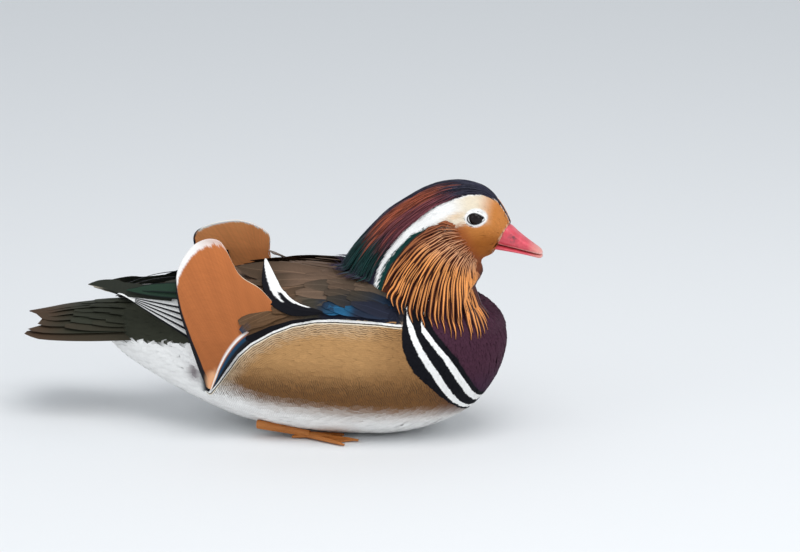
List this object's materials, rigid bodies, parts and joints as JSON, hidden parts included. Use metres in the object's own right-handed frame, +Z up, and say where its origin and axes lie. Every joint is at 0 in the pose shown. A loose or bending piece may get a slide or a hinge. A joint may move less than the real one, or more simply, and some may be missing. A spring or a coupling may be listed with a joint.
{
  "type": "mandarin duck",
  "caption": "Life-size still model of a mandarin drake at rest on its belly, with a swept-back crest, orange neck hackles, upright wing sails and tucked feet",
  "frame": {"origin": "middle of the footprint, on the floor that the belly rests on", "axes": "+X out of the bill, +Y to the bird's left, +Z up"},
  "size_m": [0.3821, 0.143, 0.1867],
  "materials": {
    "head_feathers": "soft feathers",
    "hackles": "satin feathers",
    "body_feathers": "soft feathers",
    "tail_feathers": "satin feathers",
    "wing_feathers": "satin feathers",
    "sail_feathers": "satin feathers",
    "bill": "semi-gloss horn",
    "eyes": "wet gloss",
    "feet": "soft skin"
  },
  "bodies": {
    "root": {"head": "head_feathers", "neck": "hackles", "torso": "body_feathers", "tail": "tail_feathers", "wing_right": "wing_feathers", "wing_left": "wing_feathers", "sail_right": "sail_feathers", "sail_left": "sail_feathers", "bill_upper": "bill", "bill_lower": "bill", "eye_right": "eyes", "eye_left": "eyes", "leg_right": "feet", "leg_left": "feet"}
  },
  "joints": []
}
